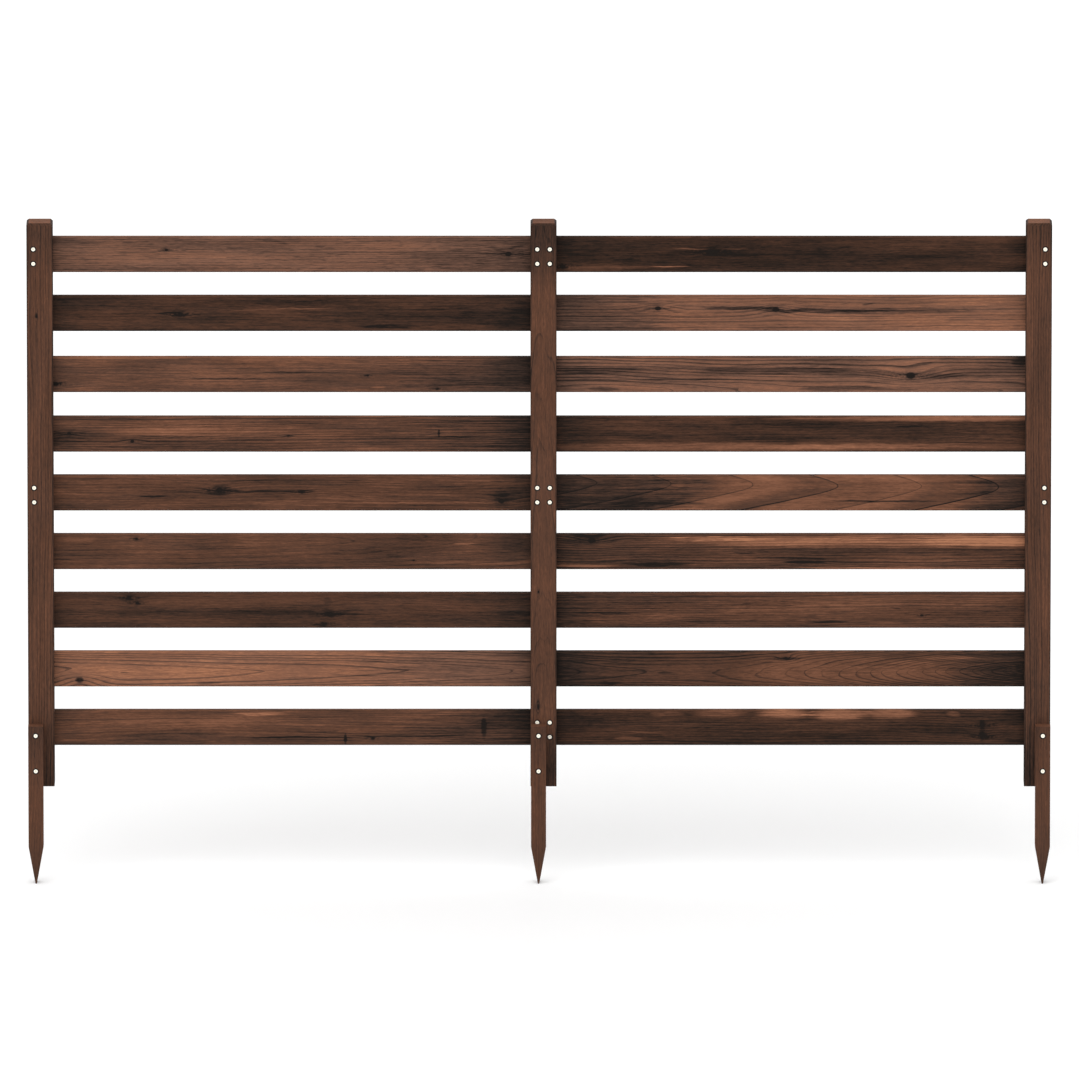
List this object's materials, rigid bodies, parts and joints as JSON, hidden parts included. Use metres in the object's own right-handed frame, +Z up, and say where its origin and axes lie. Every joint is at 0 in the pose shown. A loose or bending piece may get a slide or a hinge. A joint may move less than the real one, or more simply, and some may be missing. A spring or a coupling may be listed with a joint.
{
  "type": "slatted privacy fence",
  "caption": "Low timber privacy fence: horizontal slats held in mortised posts, with a pointed ground stake screwed to the front of each post.",
  "frame": {"origin": "centre of the middle post's foot, at ground level", "axes": "+X along the fence to the right seen from the front, the front faces -Y, +Z up"},
  "size_m": [1.8, 0.068, 1.1862],
  "materials": {
    "slat_wood": "dark brown stain, matt",
    "post_wood": "dark brown stain, matt",
    "stake_wood": "dark brown stain, matt",
    "screw": "cream coated, satin"
  },
  "bodies": {
    "root": {"left_post": "post_wood", "left_stake": "stake_wood", "left_post_screws": "screw", "left_stake_screws": "screw", "middle_post": "post_wood", "middle_stake": "stake_wood", "middle_post_screws": "screw", "middle_stake_screws": "screw", "right_post": "post_wood", "right_stake": "stake_wood", "right_post_screws": "screw", "right_stake_screws": "screw", "left_slat_1": "slat_wood", "left_slat_2": "slat_wood", "left_slat_3": "slat_wood", "left_slat_4": "slat_wood", "left_slat_5": "slat_wood", "left_slat_6": "slat_wood", "left_slat_7": "slat_wood", "left_slat_8": "slat_wood", "left_slat_9": "slat_wood", "right_slat_1": "slat_wood", "right_slat_2": "slat_wood", "right_slat_3": "slat_wood", "right_slat_4": "slat_wood", "right_slat_5": "slat_wood", "right_slat_6": "slat_wood", "right_slat_7": "slat_wood", "right_slat_8": "slat_wood", "right_slat_9": "slat_wood"}
  },
  "joints": []
}
